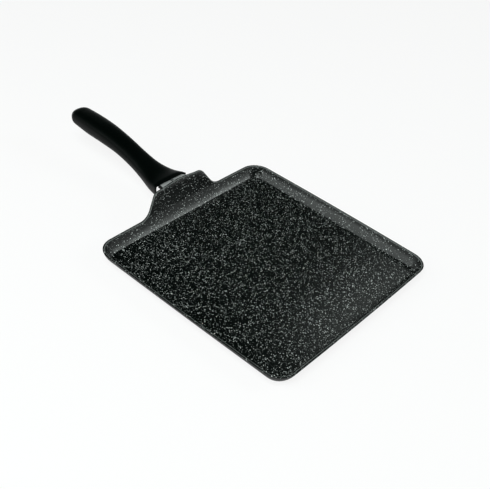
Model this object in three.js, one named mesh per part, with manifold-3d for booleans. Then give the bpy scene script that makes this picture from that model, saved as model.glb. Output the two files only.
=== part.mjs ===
// Square griddle pan: a pressed aluminium tray with a raised tab, and a moulded grip held on a steel bracket.
// Millimetres, +Z up. The origin is the middle of the base's underside, and the grip points along -X.
import * as THREE from 'three';
import { mergeVertices } from 'three/addons/utils/BufferGeometryUtils.js';
import Module from 'manifold-3d';

const wasm = await Module();
wasm.setup();
const { clamp, degToRad, lerp: mix } = THREE.MathUtils;

// Clearance between pieces that touch
const fit = 0.3;

// Tray
const sheetThickness = 2.5;
const floorHalf = 128; // middle of the floor to the crease where the wall starts
const floorCornerRadius = 12;
const floorFillet = 3; // inside
const baseFillet = 10; // outside
const wallHeight = 13.4; // floor to rim
const wallLean = 8.4; // how far the wall leans out by its rim, at a corner
const sideBow = 1; // how much further it leans at the middle of a side
const rimRound = 0.7;

// Tab on the handle side, measured along the side and up from the rim
const tabHeight = 25.6; // rim to the tab's shoulders
const tabCrown = 2.8; // shoulders to the top of the tab's middle
const tabTopHalf = 39.6;
const tabFlankRun = 18; // how much wider each side of the tab is at the rim
const tabShoulderRadius = 10.5;
const tabFootRadius = 20;
const tabAngle = degToRad(73); // above the floor
const tabBend = 8; // half the height of the bend between wall and tab

// Bracket, a bent steel strip: a flange on the tab and a tongue in the grip
const bracketThickness = 2;
const flangeHalf = 21;
const flangeLength = 15; // below the bend
const bracketBendRadius = 4; // at the middle of the sheet
const tongueDrop = degToRad(14); // slope down towards the grip
const tongueSideGap = 1; // tongue's edge to the edge of the hood's slot
const tongueEndReach = 8; // past the grip screw
const ribHalf = 1.4;
const ribDepth = 1.1;
const ribRamp = 1;

// Studs welded to the tab, with their washers and nuts
const studRadius = 2.5;
const studMargin = 8.5; // flange's edge to a stud's middle
const studDrop = 7; // below the top of the flange
const studEnd = 1.2; // bare end past the nut
const studChamfer = 0.6;
const springWasherRadius = 4.4;
const springWasherThickness = 1.2;
const springWasherSplit = degToRad(16);
const nutAcrossFlats = 8;
const nutHeight = 4;

// Grip, back from its mouth and up from the tab's shoulders
const mouthGap = 10.3; // tab's back to the mouth
const gripLength = 180.5;
const gripRise = 7.8; // to the widest line at the palm
const palmHalfWidth = 15.4;
const palmCrest = 8.5; // widest line to the crest
const palmBelly = 15.4; // widest line to the belly
// Stations along the grip, as shares of those sizes, and the belly's fullness
const gripStations = [
  { back: 0, widest: -0.85, crest: 0.54, belly: 1.27, halfWidth: 1.7, fullness: 3.3 },
  { back: 0.1, widest: -1.414, crest: 0.82, belly: 1.04, halfWidth: 1.41, fullness: 2.6 },
  { back: 0.21, widest: -1.155, crest: 0.85, belly: 0.9, halfWidth: 1.08, fullness: 2.6 },
  { back: 0.332, widest: -0.388, crest: 0.75, belly: 0.88, halfWidth: 0.935, fullness: 2.6 },
  { back: 0.482, widest: 0.413, crest: 0.81, belly: 0.88, halfWidth: 0.935, fullness: 2.6 },
  { back: 0.648, widest: 0.876, crest: 0.93, belly: 0.98, halfWidth: 0.995, fullness: 2.6 },
  { back: 0.814, widest: 1, crest: 1, belly: 1, halfWidth: 1, fullness: 2.6 },
  { back: 1, widest: 0.898, crest: 1.06, belly: 0.66, halfWidth: 0.92, fullness: 2.6 },
];
const gripEndRound = 12;
const crestFullness = 2.4; // 2 is an ellipse, more is squarer
const hoodWall = 2;
const hoodEndGap = 6; // tongue's end to the end of the hollow
const hoodRoofGap = 1; // tongue to the hood's roof at the mouth
const hoodSlotLip = 5; // wall left on each side of the slot below
const hoodSlotHeight = 8;

// Screw, washer and threaded insert that hold the grip
const screwBack = 32; // mouth to the screw
const screwRadius = 2.5;
const screwHeadRadius = 4.5;
const screwHeadHeight = 3;
const screwHeadChamfer = 1;
const screwRecessWidth = 1.2;
const screwRecessReach = 2.6;
const screwRecessDepth = 1.5;
const washerRadius = 6;
const washerThickness = 1;
const insertRadius = 4.3;
const insertLength = 7;
const insertRoof = 1.2; // closed end past the screw
const bossWall = 3;

// How finely round stretches are divided
const cornerSteps = 6;
const sideSteps = 8;
const wallSteps = 3;
const tabStep = 11; // length of a straight stretch of the tab's outline
const arcSteps = 5;
const gripSteps = 28;
const hoodSteps = 10;
const gripRingPoints = 28;
const roundSides = 20;
const gripTip = 0.06; // last ring of the grip's end, as a share of the section

const sideHalf = floorHalf - floorCornerRadius;
const tabLean = wallLean + sideBow;
const tabLip = sheetThickness / Math.sin(tabAngle);
const shoulderHeight = sheetThickness + wallHeight + tabHeight;
const tabBackX = -floorHalf - tabLean - tabLip - (tabHeight + tabCrown) / Math.tan(tabAngle);
const mouthX = tabBackX - mouthGap;
const hoodDepth = screwBack + tongueEndReach + hoodEndGap;

const at = (x, y, z) => new THREE.Vector3(x, y, z);

// Skin over rings of equal count, closed at both ends by a fan to the ring's middle.
function loft(rings) {
  const count = rings[0].length;
  const points = rings.flat();
  const middle = (ring) => ring.reduce((sum, p) => sum.add(p), at(0, 0, 0)).divideScalar(count);
  const first = points.push(middle(rings[0])) - 1;
  const last = points.push(middle(rings.at(-1))) - 1;
  const lastRing = (rings.length - 1) * count;
  const index = [];
  for (let p = 0; p < count; p += 1) {
    const next = (p + 1) % count;
    index.push(first, p, next);
    index.push(last, lastRing + next, lastRing + p);
    for (let base = 0; base < lastRing; base += count) {
      const outer = base + count;
      index.push(base + p, outer + p, outer + next);
      index.push(base + p, outer + next, base + next);
    }
  }
  const geometry = new THREE.BufferGeometry().setFromPoints(points);
  geometry.setIndex(index);
  return geometry;
}

// Closed turned shape about +Z from [radius, height] pairs.
function turned(profile) {
  const points = profile.map(([radius, height]) => new THREE.Vector2(radius, height));
  return new THREE.LatheGeometry(points, roundSides).rotateX(Math.PI / 2);
}

function rod(radius, from, to) {
  return turned([[0, from], [radius, from], [radius, to], [0, to]]);
}

function ring(inner, outer, from, to) {
  return turned([[inner, from], [outer, from], [outer, to], [inner, to], [inner, from]]);
}

function asSolid(geometry) {
  const bare = geometry.clone();
  bare.deleteAttribute('normal');
  bare.deleteAttribute('uv');
  const merged = mergeVertices(bare);
  const vertProperties = new Float32Array(merged.attributes.position.array);
  const triVerts = new Uint32Array(merged.index.array);
  return new wasm.Manifold(new wasm.Mesh({ numProp: 3, vertProperties, triVerts }));
}

function asGeometry(solid) {
  const { vertProperties, triVerts } = solid.getMesh();
  const geometry = new THREE.BufferGeometry();
  geometry.setAttribute('position', new THREE.BufferAttribute(vertProperties, 3));
  geometry.setIndex(new THREE.BufferAttribute(triVerts, 1));
  return geometry;
}

function cutFrom(geometry, ...tools) {
  return asGeometry(tools.reduce((body, tool) => body.subtract(asSolid(tool)), asSolid(geometry)));
}

const pan = new THREE.Group();

function addPiece(parent, name, geometry, color, roughness, metalness) {
  const material = new THREE.MeshStandardMaterial({ color, roughness, metalness, flatShading: true });
  const piece = new THREE.Mesh(geometry, material);
  piece.name = name;
  parent.add(piece);
}

// Outline through corners, each rounded by its radius, with straight stretches cut at the given step.
function roundedOutline(corners, step) {
  const outline = [];
  const straightTo = (end) => {
    const start = outline.at(-1);
    const pieces = Math.max(1, Math.round(start.distanceTo(end) / step));
    for (let i = 1; i <= pieces; i += 1) outline.push(start.clone().lerp(end, i / pieces));
  };
  outline.push(corners[0].point);
  for (let i = 1; i < corners.length - 1; i += 1) {
    const { point, radius } = corners[i];
    const before = corners[i - 1].point.clone().sub(point).normalize();
    const after = corners[i + 1].point.clone().sub(point).normalize();
    const half = Math.acos(before.dot(after)) / 2;
    const setback = radius / Math.tan(half);
    const start = point.clone().addScaledVector(before, setback);
    const end = point.clone().addScaledVector(after, setback);
    const inward = before.clone().add(after).normalize();
    const centre = point.clone().addScaledVector(inward, radius / Math.sin(half));
    const from = start.clone().sub(centre);
    const turn = Math.sign(before.cross(after)) * (half * 2 - Math.PI);
    straightTo(start);
    for (let k = 1; k < arcSteps; k += 1) {
      outline.push(from.clone().rotateAround(new THREE.Vector2(), turn * (k / arcSteps)).add(centre));
    }
    outline.push(end);
  }
  straightTo(corners.at(-1).point);
  return outline;
}

// Height of the tab above the rim, as [along the side, rise] points.
function tabOutline() {
  const corner = (along, rise, radius) => ({ point: new THREE.Vector2(along, rise), radius });
  const tabFootHalf = tabTopHalf + tabFlankRun;
  const outline = roundedOutline([
    corner(-sideHalf, 0, 0),
    corner(-tabFootHalf, 0, tabFootRadius),
    corner(-tabTopHalf, tabHeight, tabShoulderRadius),
    corner(tabTopHalf, tabHeight, tabShoulderRadius),
    corner(tabFootHalf, 0, tabFootRadius),
    corner(sideHalf, 0, 0),
  ], tabStep);
  return outline.map(({ x, y }) => {
    const inside = Math.min(Math.abs(x) / tabTopHalf, 1);
    return [x, y + tabCrown * (1 + Math.cos(Math.PI * inside)) / 2];
  });
}

// Points round the floor's crease, each with the wall's outward direction, lean and rise there.
function trayPerimeter() {
  const plainSide = Array.from({ length: sideSteps + 1 }, (_, i) => {
    return [mix(-sideHalf, sideHalf, i / sideSteps), 0];
  });
  const perimeter = [];
  for (let side = 0; side < 4; side += 1) {
    const heading = (side * Math.PI) / 2;
    const out = new THREE.Vector2(Math.cos(heading), Math.sin(heading));
    const along = new THREE.Vector2(-out.y, out.x);
    for (const [s, rise] of side === 2 ? tabOutline() : plainSide) {
      const crease = out.clone().multiplyScalar(floorHalf).addScaledVector(along, s);
      const lean = wallLean + sideBow * (1 - (s / sideHalf) ** 2);
      perimeter.push({ crease, out, lean, rise });
    }
    const centre = out.clone().add(along).multiplyScalar(sideHalf);
    for (let k = 1; k < cornerSteps; k += 1) {
      const angle = heading + (Math.PI / 2) * (k / cornerSteps);
      const turnedOut = new THREE.Vector2(Math.cos(angle), Math.sin(angle));
      const crease = centre.clone().addScaledVector(turnedOut, floorCornerRadius);
      perimeter.push({ crease, out: turnedOut, lean: wallLean, rise: 0 });
    }
  }
  return perimeter;
}

// Wall at a height above the floor, inside and outside: straight, then bent up into the tab.
function wallAt(height, lean, rise) {
  const wallSlope = lean / wallHeight;
  const tabSlope = 1 / Math.tan(tabAngle);
  const bend = Math.min(tabBend, rise);
  const above = height - wallHeight;
  const share = bend > 0 ? clamp((above + bend) / (2 * bend), 0, 1) : 0;
  const slope = mix(wallSlope, tabSlope, share);
  const steeper = share ** 2 * bend + Math.max(0, above - bend);
  const inside = wallSlope * height + (tabSlope - wallSlope) * steeper;
  return { inside, outside: inside + sheetThickness * Math.hypot(1, slope) };
}

// Wall section as [outward, height above the floor] pairs, from the floor over the rim to the base.
function wallSection({ lean, rise }) {
  const angle = Math.atan2(wallHeight, lean);
  const top = wallHeight + rise;
  const rim = wallAt(top, lean, rise);
  const round = Math.min(rimRound, (rim.outside - rim.inside) / 3);
  const fillet = (crease, height, radius) => {
    const reach = radius * Math.tan(angle / 2);
    return [
      [crease - reach, height],
      [crease - reach + radius * Math.sin(angle / 2), height + radius * (1 - Math.cos(angle / 2))],
      [crease + reach * Math.cos(angle), height + reach * Math.sin(angle)],
    ];
  };
  const inner = fillet(0, 0, floorFillet);
  const outer = fillet(wallAt(-sheetThickness, lean, rise).outside, -sheetThickness, baseFillet);
  const wall = (start, face) => Array.from({ length: wallSteps }, (_, i) => {
    const height = mix(start[1], top - round, (i + 1) / wallSteps);
    return [wallAt(height, lean, rise)[face], height];
  });
  return [
    ...inner,
    ...wall(inner[2], 'inside'),
    [rim.inside + round, top],
    [rim.outside - round, top],
    ...wall(outer[2], 'outside').reverse(),
    ...outer.reverse(),
  ];
}

function trayGeometry() {
  const columns = trayPerimeter().map((place) => wallSection(place).map(([outward, height]) => {
    const flat = place.crease.clone().addScaledVector(place.out, outward);
    return at(flat.x, flat.y, height + sheetThickness);
  }));
  return loft(columns[0].map((_, level) => columns.map((column) => column[level])));
}

// Lines of the bent strip in the plane y = 0: a flange on the tab's back, a tongue under the hood's roof.
const flangeUp = at(-Math.cos(tabAngle), 0, Math.sin(tabAngle));
const tongueBack = at(-Math.cos(tongueDrop), 0, -Math.sin(tongueDrop));
const tongueUp = at(-Math.sin(tongueDrop), 0, Math.cos(tongueDrop));
const tabOutward = at(-Math.sin(tabAngle), 0, -Math.cos(tabAngle));
const tabBackFoot = at(tabBackX, 0, shoulderHeight + tabCrown);
const flangeMiddle = tabBackFoot.clone().addScaledVector(tabOutward, fit + bracketThickness / 2);
const mouthRoof = shoulderHeight + gripOutline(0).crest - hoodWall;
const tongueMouth = at(mouthX, 0, mouthRoof - hoodRoofGap).addScaledVector(tongueUp, -bracketThickness / 2);

// Where the flange's line meets the tongue's line.
function bracketKnee() {
  const between = tongueMouth.clone().sub(flangeMiddle);
  const share = between.dot(tongueUp) / flangeUp.dot(tongueUp);
  return flangeMiddle.clone().addScaledVector(flangeUp, share);
}

const knee = bracketKnee();
const kneeTurn = Math.acos(flangeUp.dot(tongueBack));
const kneeReach = bracketBendRadius * Math.tan(kneeTurn / 2);
const flangeTop = knee.clone().addScaledVector(flangeUp, -kneeReach);
const tongueRun = (x) => (knee.x - x) / Math.cos(tongueDrop);
const screwPlace = knee.clone().addScaledVector(tongueBack, tongueRun(mouthX - screwBack));

// Matrix that stands a piece's +Z along a direction in the plane y = 0, at a point.
function standing(direction, point) {
  const turn = new THREE.Matrix4().makeRotationY(Math.atan2(direction.x, direction.z));
  return turn.setPosition(point);
}

const screwFrame = standing(tongueUp, screwPlace);
const studSides = { left: -1, right: 1 };
const studFrame = (side) => {
  const place = flangeTop.clone().addScaledVector(flangeUp, -studDrop);
  place.addScaledVector(tabOutward, -bracketThickness / 2);
  place.y = side * (flangeHalf - studMargin);
  return standing(tabOutward, place);
};

function bracketRing(point, forward, half, depth) {
  const up = at(forward.z, 0, -forward.x);
  const ribTop = ribHalf + ribRamp;
  const place = (y, height) => at(point.x, y, point.z).addScaledVector(up, height);
  const face = (height) => [
    place(half, height),
    place(ribTop, height),
    place(ribHalf, height - depth),
    place(-ribHalf, height - depth),
    place(-ribTop, height),
    place(-half, height),
  ];
  return [...face(bracketThickness / 2), ...face(-bracketThickness / 2).reverse()];
}

function bracketGeometry() {
  const rings = [];
  const flangeEnd = flangeTop.clone().addScaledVector(flangeUp, -flangeLength);
  rings.push(bracketRing(flangeEnd, flangeUp, flangeHalf, 0));
  const inward = at(-flangeUp.z, 0, flangeUp.x);
  const centre = flangeTop.clone().addScaledVector(inward, bracketBendRadius);
  for (let k = 0; k <= arcSteps; k += 1) {
    const turn = kneeTurn * (k / arcSteps);
    const spin = new THREE.Quaternion().setFromAxisAngle(at(0, -1, 0), turn);
    const point = centre.clone().addScaledVector(inward.clone().applyQuaternion(spin), -bracketBendRadius);
    const forward = flangeUp.clone().applyQuaternion(spin);
    rings.push(bracketRing(point, forward, flangeHalf, ribDepth * (k / arcSteps)));
  }
  const ribEnd = tongueRun(mouthX - screwBack) - washerRadius - bossWall;
  const tongueEnd = tongueRun(mouthX - screwBack) + tongueEndReach;
  const onTongue = (run, half, depth) => {
    rings.push(bracketRing(knee.clone().addScaledVector(tongueBack, run), tongueBack, half, depth));
  };
  const mouthRun = tongueRun(mouthX);
  const halfAt = (back) => slotHalf(back) - tongueSideGap;
  const endHalf = halfAt(screwBack + tongueEndReach);
  const taper = (run) => mix(halfAt(0), endHalf, (run - mouthRun) / (tongueEnd - mouthRun));
  onTongue(mouthRun, taper(mouthRun), ribDepth);
  onTongue(ribEnd - ribRamp, taper(ribEnd - ribRamp), ribDepth);
  onTongue(ribEnd + ribRamp, taper(ribEnd + ribRamp), 0);
  onTongue(tongueEnd, taper(tongueEnd), 0);
  const through = bracketThickness * 2;
  const screwHole = rod(screwRadius + fit, -through, through).applyMatrix4(screwFrame);
  const studHoles = Object.values(studSides).map((side) => {
    return rod(studRadius + fit, -through, through).applyMatrix4(studFrame(side));
  });
  return cutFrom(loft(rings), screwHole, ...studHoles);
}

// Share of one size at a share of the way along the grip, smooth through the stations.
function gripShare(key, back) {
  const last = gripStations.length - 1;
  const i = clamp(gripStations.findLastIndex((station) => station.back <= back), 0, last - 1);
  const [before, start, end, after] = [i - 1, i, i + 1, i + 2].map((k) => gripStations[clamp(k, 0, last)]);
  const run = end.back - start.back;
  const slope = (a, b) => (run * (b[key] - a[key])) / (b.back - a.back);
  const t = (back - start.back) / run;
  const rise = end[key] - start[key];
  const leave = slope(before, end);
  const arrive = slope(start, after);
  const bulge = (leave + arrive - 2 * rise) * t + 3 * rise - 2 * leave - arrive;
  return start[key] + leave * t + bulge * t ** 2;
}

function gripOutline(back) {
  const place = Math.max(back, 0) / gripLength;
  const widest = gripRise * gripShare('widest', place);
  return {
    crest: widest + palmCrest * gripShare('crest', place),
    widest,
    belly: widest - palmBelly * gripShare('belly', place),
    halfWidth: palmHalfWidth * gripShare('halfWidth', place),
    bellyFullness: gripShare('fullness', place),
  };
}

// Half width of the slot through the hood's belly.
function slotHalf(back) {
  return gripOutline(back).halfWidth - hoodWall - hoodSlotLip;
}

function gripRing(back, { crest, widest, belly, halfWidth, bellyFullness }, shrink) {
  const points = [];
  for (let i = 0; i < gripRingPoints; i += 1) {
    const angle = (2 * Math.PI * i) / gripRingPoints;
    const above = Math.sin(angle) >= 0;
    const power = 2 / (above ? crestFullness : bellyFullness);
    const across = Math.sign(Math.cos(angle)) * Math.abs(Math.cos(angle)) ** power;
    const reach = above ? crest - widest : belly - widest;
    const rise = reach * Math.abs(Math.sin(angle)) ** power;
    points.push(at(mouthX - back, halfWidth * across * shrink, shoulderHeight + widest + rise * shrink));
  }
  return points;
}

function gripBody() {
  const roundStart = gripLength - gripEndRound;
  const rings = [];
  for (let i = 0; i < gripSteps; i += 1) {
    const back = roundStart * (i / gripSteps);
    rings.push(gripRing(back, gripOutline(back), 1));
  }
  const tipTurn = Math.acos(gripTip);
  for (let k = 0; k <= cornerSteps; k += 1) {
    const turn = tipTurn * (k / cornerSteps);
    const back = roundStart + gripEndRound * Math.sin(turn);
    rings.push(gripRing(back, gripOutline(back), Math.cos(turn)));
  }
  return loft(rings);
}

// Hollow of the hood: the grip's outline drawn in by the wall, and a slot out through its belly.
function hoodHollow() {
  const backs = [-hoodWall];
  for (let i = 0; i <= hoodSteps; i += 1) backs.push(hoodDepth * (i / hoodSteps));
  const hollowRing = (back) => {
    const drawnIn = gripOutline(back);
    drawnIn.crest -= hoodWall;
    drawnIn.belly += hoodWall;
    drawnIn.halfWidth -= hoodWall;
    return gripRing(back, drawnIn, 1);
  };
  const slotRing = (back) => {
    const x = mouthX - back;
    const half = slotHalf(back);
    const low = shoulderHeight + gripOutline(back).belly - hoodWall;
    const high = low + hoodWall + hoodSlotHeight;
    return [at(x, half, low), at(x, half, high), at(x, -half, high), at(x, -half, low)];
  };
  return asSolid(loft(backs.map(hollowRing))).add(asSolid(loft(backs.map(slotRing))));
}

// Grip with its hood, and a boss down to the tongue that holds the threaded insert.
function gripGeometry() {
  const bossFoot = bracketThickness / 2 + fit;
  const boss = asSolid(rod(insertRadius + bossWall, bossFoot, hoodDepth).applyMatrix4(screwFrame));
  const pocketTop = bossFoot + insertLength + fit;
  const pocket = rod(insertRadius + fit, 0, pocketTop).applyMatrix4(screwFrame);
  const body = asSolid(gripBody());
  return asGeometry(body.subtract(hoodHollow().subtract(boss)).subtract(asSolid(pocket)));
}

addPiece(pan, 'pan_body', trayGeometry(), 0x202222, 0.5, 0.1);
addPiece(pan, 'handle_bracket', bracketGeometry(), 0xa9acad, 0.35, 1);
addPiece(pan, 'handle_grip', gripGeometry(), 0x0b0d0c, 0.45, 0);

// Each stud stands on the tab's back, through the flange, and carries a split spring washer and a nut.
for (const [name, side] of Object.entries(studSides)) {
  const stack = new THREE.Group();
  stack.applyMatrix4(studFrame(side));
  const washerFoot = bracketThickness + fit;
  const nutFoot = washerFoot + springWasherThickness + fit;
  const studTop = nutFoot + nutHeight + studEnd;
  const stud = turned([
    [0, 0],
    [studRadius, 0],
    [studRadius, studTop - studChamfer],
    [studRadius - studChamfer, studTop],
    [0, studTop],
  ]);
  const split = new THREE.Shape();
  const splitEnd = 2 * Math.PI - springWasherSplit / 2;
  split.absarc(0, 0, springWasherRadius, springWasherSplit / 2, splitEnd, false);
  split.absarc(0, 0, studRadius + fit, splitEnd, springWasherSplit / 2, true);
  const washer = new THREE.ExtrudeGeometry(split, { depth: springWasherThickness, bevelEnabled: false });
  const hexagon = new THREE.Shape();
  const nutCorner = nutAcrossFlats / 2 / Math.cos(Math.PI / 6);
  hexagon.setFromPoints(Array.from({ length: 6 }, (_, i) => {
    return new THREE.Vector2(nutCorner, 0).rotateAround(new THREE.Vector2(), (Math.PI / 3) * i);
  }));
  hexagon.holes.push(new THREE.Path().absarc(0, 0, studRadius + fit, 0, 2 * Math.PI, true));
  const nut = new THREE.ExtrudeGeometry(hexagon, { depth: nutHeight, bevelEnabled: false });
  addPiece(stack, `tab_stud_${name}`, stud, 0xc2c4c6, 0.4, 1);
  addPiece(stack, `stud_washer_${name}`, washer.translate(0, 0, washerFoot), 0x8d9092, 0.4, 1);
  addPiece(stack, `stud_nut_${name}`, nut.translate(0, 0, nutFoot), 0x9da0a2, 0.35, 1);
  pan.add(stack);
}

// Screw from below through its washer and the tongue into the insert.
const screwStack = new THREE.Group();
screwStack.applyMatrix4(screwFrame);
const insertFoot = bracketThickness / 2 + fit;
const insertBore = screwRadius + fit;
const insertTop = insertFoot + insertLength;
const boreTop = insertTop - insertRoof;
const screwTip = boreTop - fit;
addPiece(screwStack, 'thread_insert', turned([
  [insertBore, insertFoot],
  [insertRadius, insertFoot],
  [insertRadius, insertTop],
  [0, insertTop],
  [0, boreTop],
  [insertBore, boreTop],
  [insertBore, insertFoot],
]), 0xb5924c, 0.35, 1);
const washerTop = -bracketThickness / 2 - fit;
const headTop = washerTop - washerThickness - fit;
const headFoot = headTop - screwHeadHeight;
const gripWasher = ring(screwRadius + fit, washerRadius, washerTop - washerThickness, washerTop);
addPiece(screwStack, 'grip_washer', gripWasher, 0xa4a7a9, 0.35, 1);
const screwBody = turned([
  [0, headFoot],
  [screwHeadRadius - screwHeadChamfer, headFoot],
  [screwHeadRadius, headFoot + screwHeadChamfer],
  [screwHeadRadius, headTop],
  [screwRadius, headTop],
  [screwRadius, screwTip],
  [0, screwTip],
]);
const recess = (length, width) => {
  return new THREE.BoxGeometry(length, width, screwRecessDepth * 2).translate(0, 0, headFoot);
};
const recessLength = screwRecessReach * 2;
const crossRecess = [recess(recessLength, screwRecessWidth), recess(screwRecessWidth, recessLength)];
addPiece(screwStack, 'grip_screw', cutFrom(screwBody, ...crossRecess), 0xa4a7a9, 0.3, 1);
pan.add(screwStack);

export default pan;
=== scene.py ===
from collections import namedtuple
from math import acos, atan2, cos, hypot, pi, radians, sin, tan

import bmesh
import bpy
from mathutils import Matrix, Vector


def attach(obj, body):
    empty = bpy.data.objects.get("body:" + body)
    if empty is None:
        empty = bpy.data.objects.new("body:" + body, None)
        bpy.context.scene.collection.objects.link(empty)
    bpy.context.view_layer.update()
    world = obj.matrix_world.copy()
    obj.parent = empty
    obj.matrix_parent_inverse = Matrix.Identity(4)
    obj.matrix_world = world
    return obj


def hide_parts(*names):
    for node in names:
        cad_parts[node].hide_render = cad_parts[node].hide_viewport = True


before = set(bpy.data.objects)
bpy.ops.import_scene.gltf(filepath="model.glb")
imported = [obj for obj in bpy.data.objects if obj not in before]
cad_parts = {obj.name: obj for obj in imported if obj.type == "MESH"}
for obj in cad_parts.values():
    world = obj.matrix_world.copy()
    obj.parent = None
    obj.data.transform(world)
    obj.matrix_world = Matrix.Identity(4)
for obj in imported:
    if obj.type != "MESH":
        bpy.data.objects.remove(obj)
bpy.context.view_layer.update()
scene = bpy.context.scene
mm = 0.001
near = 0.02 * mm  # two places this close are the same
exact = near / 10  # the same, where rings or edges stand close together
slack = 0.3 * mm  # how far a thickened sheet's places may be from where they are looked for
mostly = 0.9  # a face looks one way when this share of its normal does
sharp = 0.5  # radians between the two faces of an edge that gets rounded


# picking and finishing

def leaveEdit():
    bpy.ops.object.mode_set(mode="OBJECT")


def fresh():
    if bpy.context.object and bpy.context.object.mode != "OBJECT":
        leaveEdit()
    bpy.ops.object.select_all(action="DESELECT")


def choose(piece):
    fresh()
    piece.select_set(True)
    bpy.context.view_layer.objects.active = piece


def shapeUp(name):  # the primitive just added gets its name and goes to edit mode
    piece = bpy.context.object
    piece.name = piece.data.name = name
    bpy.ops.object.transform_apply(location=True, rotation=True, scale=True)
    bpy.ops.object.mode_set(mode="EDIT")
    return piece


def editAgain(piece):
    choose(piece)
    bpy.ops.object.mode_set(mode="EDIT")


def pick(kind, test):
    data = bpy.context.object.data
    mesh = bmesh.from_edit_mesh(data)
    items = {"VERT": mesh.verts, "EDGE": mesh.edges, "FACE": mesh.faces}[kind]
    found = [item for item in items if test(item)]
    bpy.ops.mesh.select_mode(type=kind)
    bpy.ops.mesh.select_all(action="DESELECT")
    for item in found:
        item.select_set(True)
    mesh.select_flush_mode()
    bmesh.update_edit_mesh(data, loop_triangles=False, destructive=False)


def pickAll(kind):
    pick(kind, lambda item: True)


def places(test):
    mesh = bmesh.from_edit_mesh(bpy.context.object.data)
    return [vertex.co.copy() for vertex in mesh.verts if test(vertex)]


def move(offset):
    bpy.ops.transform.translate(value=offset)


def stretch(x, y, z, about):
    bpy.ops.transform.resize(value=(x, y, z), center_override=about)


def extrudeFace(offset):
    bpy.ops.mesh.extrude_region_move(TRANSFORM_OT_translate={"value": offset})


def extrudeEdges(offset):
    bpy.ops.mesh.extrude_edges_move(TRANSFORM_OT_translate={"value": offset})


def cutAt(point, direction):
    bpy.ops.mesh.bisect(plane_co=point, plane_no=direction)


def roundCorners(radius, steps):
    bpy.ops.mesh.bevel(offset=radius, segments=steps, affect="VERTICES")


def bevelEdges(width, steps, material=-1):
    bpy.ops.mesh.bevel(offset_type="OFFSET", offset=width, segments=steps, profile=0.5, affect="EDGES",
                       material=material)


def outward():
    bpy.ops.mesh.select_all(action="SELECT")
    bpy.ops.mesh.remove_doubles(threshold=exact)
    bpy.ops.mesh.normals_make_consistent(inside=False)


def modify(piece, kind, **settings):
    choose(piece)
    modifier = piece.modifiers.new(kind, kind)
    for name, value in settings.items():
        setattr(modifier, name, value)
    bpy.ops.object.modifier_apply(modifier=modifier.name)


def combine(piece, tool, operation):  # the tool is used up
    modify(piece, "BOOLEAN", operation=operation, object=tool, solver="EXACT")
    bpy.data.objects.remove(tool)


def stand(piece, direction, point):  # turns the piece's +Z to the direction and puts its origin at the point
    choose(piece)
    turned = Matrix.Rotation(atan2(direction.x, direction.z), 4, "Y")
    piece.matrix_world = Matrix.Translation(point) @ turned
    bpy.ops.object.transform_apply(location=True, rotation=True, scale=True)


def copyOf(piece, name):
    choose(piece)
    bpy.ops.object.duplicate(linked=False)
    twin = bpy.context.object
    twin.name = twin.data.name = name
    return twin


def finish(piece, node, material=None, smooth=32):
    choose(piece)
    bpy.ops.object.shade_smooth_by_angle(angle=radians(smooth))
    if material:
        piece.data.materials.append(material)
    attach(piece, "root")
    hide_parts(node)


# shader maths

class Wire:
    def __init__(self, tree, socket=None):
        self.tree, self.socket = tree, socket

    def add(self, kind, settings, inputs, output=0):
        node = self.tree.nodes.new(kind)
        for name, value in settings.items():
            setattr(node, name, value)
        for name, value in inputs.items():
            if isinstance(value, Wire):
                self.tree.links.new(value.socket, node.inputs[name])
            else:
                node.inputs[name].default_value = value
        return Wire(self.tree, node.outputs[output] if node.outputs else None)

    def out(self, name):
        return Wire(self.tree, self.socket.node.outputs[name])

    def maths(self, operation, first, second=0.0, clamp=False):
        settings = {"operation": operation, "use_clamp": clamp}
        return self.add("ShaderNodeMath", settings, {0: first, 1: second})

    def __add__(self, other):
        return self.maths("ADD", self, other)

    __radd__ = __add__

    def __sub__(self, other):
        return self.maths("SUBTRACT", self, other)

    def __mul__(self, other):
        return self.maths("MULTIPLY", self, other)

    def __pow__(self, other):
        return self.maths("POWER", self, other)

    def clamped(self):
        return self.maths("ADD", self, 0.0, clamp=True)

    def eased(self, low, high):
        settings = {"interpolation_type": "SMOOTHSTEP"}
        return self.add("ShaderNodeMapRange", settings, {"Value": self, "From Min": low, "From Max": high})


def newFinish(name):
    material = bpy.data.materials.new(name)
    material.use_nodes = True
    tree = material.node_tree
    tree.nodes.clear()
    return material, Wire(tree)


def coatSurface(wire, inputs):
    shader = wire.add("ShaderNodeBsdfPrincipled", {}, inputs)
    wire.add("ShaderNodeOutputMaterial", {}, {"Surface": shader})


def objectPlace(wire):
    return wire.add("ShaderNodeTexCoord", {}, {}, "Object")


def grain(wire, place, size, detail=2.0):
    return wire.add("ShaderNodeTexNoise", {}, {"Vector": place, "Scale": 1 / size, "Detail": detail}, "Fac")


def blend(wire, share, dark, light):
    return wire.add("ShaderNodeMix", {"data_type": "RGBA"}, {0: share, 6: dark, 7: light}, 2)


def bumped(wire, height, depth):
    return wire.add("ShaderNodeBump", {}, {"Height": height, "Distance": depth})


# finishes

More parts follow.
